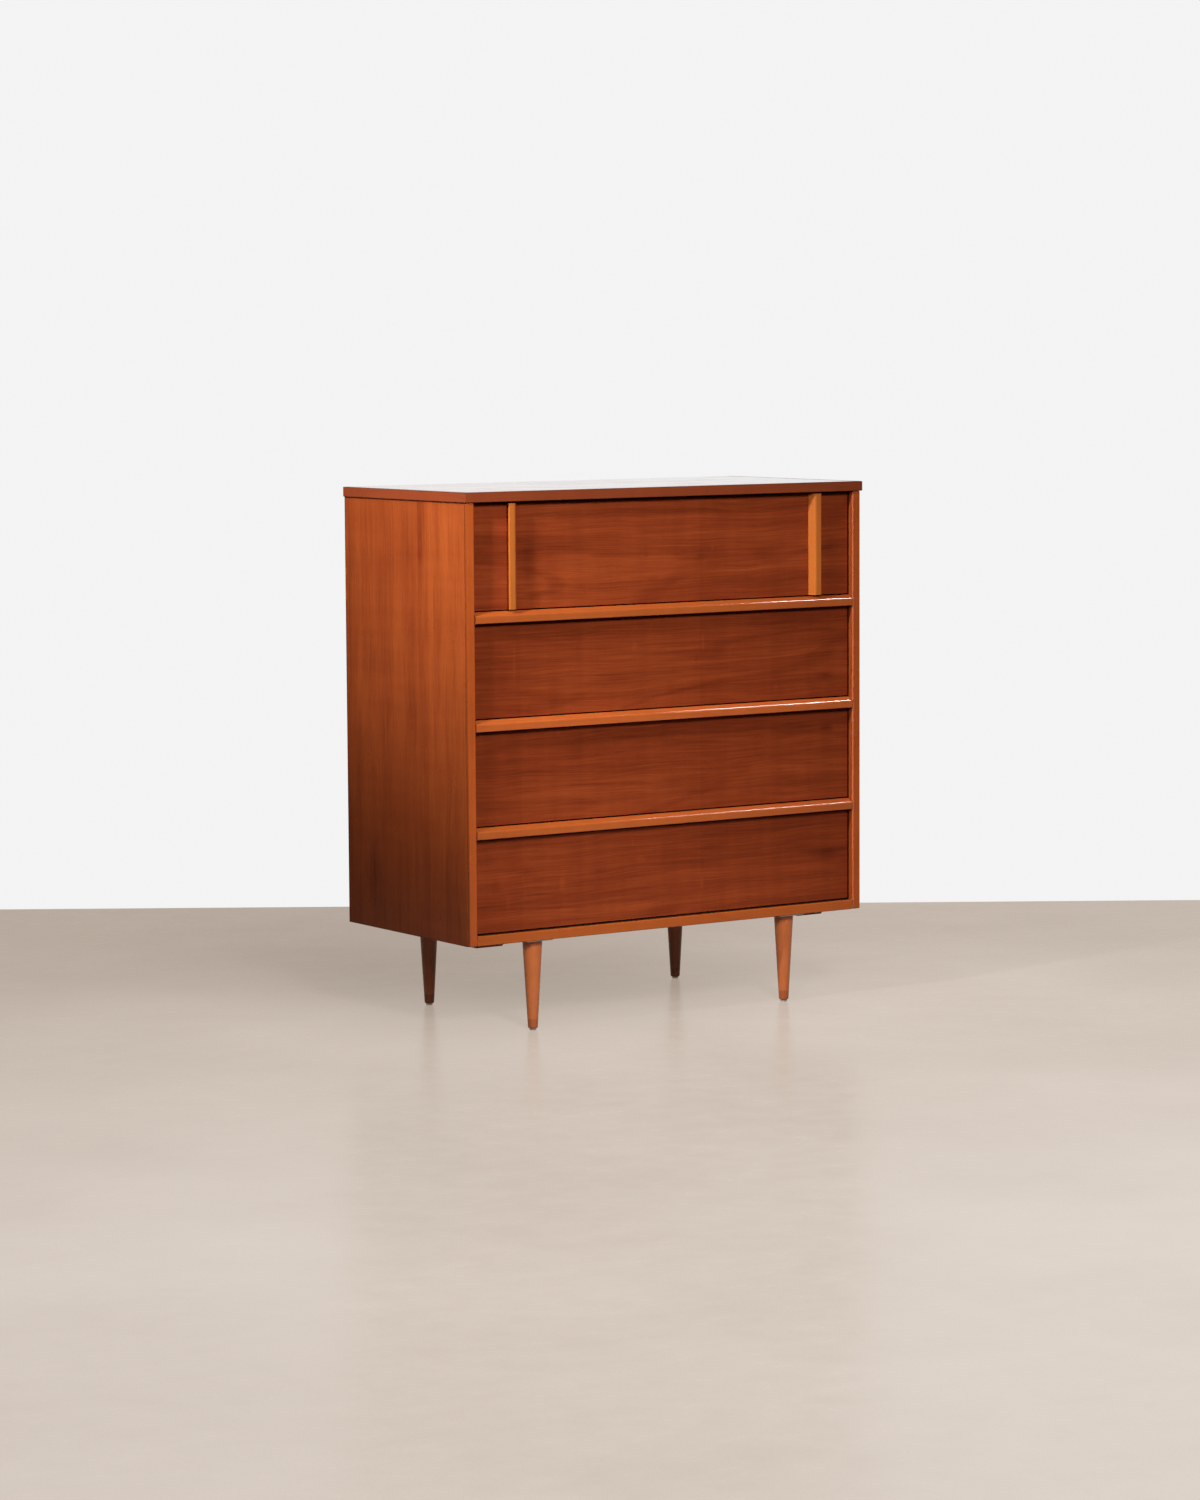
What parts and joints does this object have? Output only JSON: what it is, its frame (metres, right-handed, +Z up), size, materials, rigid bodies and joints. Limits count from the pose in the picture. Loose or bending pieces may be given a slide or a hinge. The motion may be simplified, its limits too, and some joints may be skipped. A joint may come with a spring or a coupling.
{
  "type": "tallboy",
  "caption": "Tall chest of drawers on turned tapered legs, with lipped recessed drawer fronts and upright pulls on the top drawer",
  "frame": {"origin": "On the floor, under the middle of the top", "axes": "X along the width (right seen from the front), Y towards the back (-Y is the front), Z up"},
  "size_m": [0.921, 0.441, 1.02],
  "materials": {
    "walnut_veneer_front": "semi-gloss lacquered walnut veneer, reddish brown, horizontal grain",
    "walnut_veneer_side": "semi-gloss lacquered walnut veneer, vertical grain",
    "walnut_veneer_top": "glossy lacquered walnut veneer, grain along the width",
    "walnut_solid": "semi-gloss lacquered solid wood, orange brown",
    "walnut_turned": "satin lacquered turned wood, orange brown",
    "inner_hardwood": "plain sanded pale hardwood",
    "inner_board": "plain plywood",
    "hardboard": "smooth hardboard",
    "steel": "zinc-plated steel"
  },
  "bodies": {
    "case": {"top_panel": "walnut_veneer_top", "top_band_front": "walnut_solid", "top_bands_side": "walnut_solid", "side_panel_left": "walnut_veneer_side", "side_panel_right": "walnut_veneer_side", "side_edge_left": "walnut_solid", "side_edge_right": "walnut_solid", "bottom_panel": "inner_board", "bottom_edge": "walnut_solid", "back_panel": "hardboard", "frame_rails": "inner_hardwood", "frame_runners": "inner_hardwood", "bottom_runners": "inner_hardwood", "centre_guides": "inner_hardwood", "base_cleat_left": "walnut_solid", "base_cleat_right": "walnut_solid", "leg_front_left": "walnut_turned", "leg_front_right": "walnut_turned", "leg_back_left": "walnut_turned", "leg_back_right": "walnut_turned", "leg_plates": "steel", "hanger_bolts": "steel", "leg_glides": "steel", "base_screws": "steel", "top_screws": "steel", "case_dowels": "inner_hardwood", "back_nails": "steel"},
    "drawer_1": {"drawer_1_front": "walnut_veneer_front", "drawer_1_side_left": "inner_hardwood", "drawer_1_side_right": "inner_hardwood", "drawer_1_back": "inner_hardwood", "drawer_1_bottom": "hardboard", "drawer_1_channel": "inner_hardwood", "drawer_1_fixings": "steel", "drawer_1_pull_left": "walnut_solid", "drawer_1_pull_right": "walnut_solid"},
    "drawer_2": {"drawer_2_front": "walnut_veneer_front", "drawer_2_side_left": "inner_hardwood", "drawer_2_side_right": "inner_hardwood", "drawer_2_back": "inner_hardwood", "drawer_2_bottom": "hardboard", "drawer_2_channel": "inner_hardwood", "drawer_2_fixings": "steel", "drawer_2_lip": "walnut_solid"},
    "drawer_3": {"drawer_3_front": "walnut_veneer_front", "drawer_3_side_left": "inner_hardwood", "drawer_3_side_right": "inner_hardwood", "drawer_3_back": "inner_hardwood", "drawer_3_bottom": "hardboard", "drawer_3_channel": "inner_hardwood", "drawer_3_fixings": "steel", "drawer_3_lip": "walnut_solid"},
    "drawer_4": {"drawer_4_front": "walnut_veneer_front", "drawer_4_side_left": "inner_hardwood", "drawer_4_side_right": "inner_hardwood", "drawer_4_back": "inner_hardwood", "drawer_4_bottom": "hardboard", "drawer_4_channel": "inner_hardwood", "drawer_4_fixings": "steel", "drawer_4_lip": "walnut_solid"}
  },
  "joints": [
    {"name": "drawer_1_slide", "type": "slide", "parent": "case", "child": "drawer_1", "axis": [0, -1, 0], "range_m": [0, 0.32]},
    {"name": "drawer_2_slide", "type": "slide", "parent": "case", "child": "drawer_2", "axis": [0, -1, 0], "range_m": [0, 0.32]},
    {"name": "drawer_3_slide", "type": "slide", "parent": "case", "child": "drawer_3", "axis": [0, -1, 0], "range_m": [0, 0.32]},
    {"name": "drawer_4_slide", "type": "slide", "parent": "case", "child": "drawer_4", "axis": [0, -1, 0], "range_m": [0, 0.32]}
  ]
}
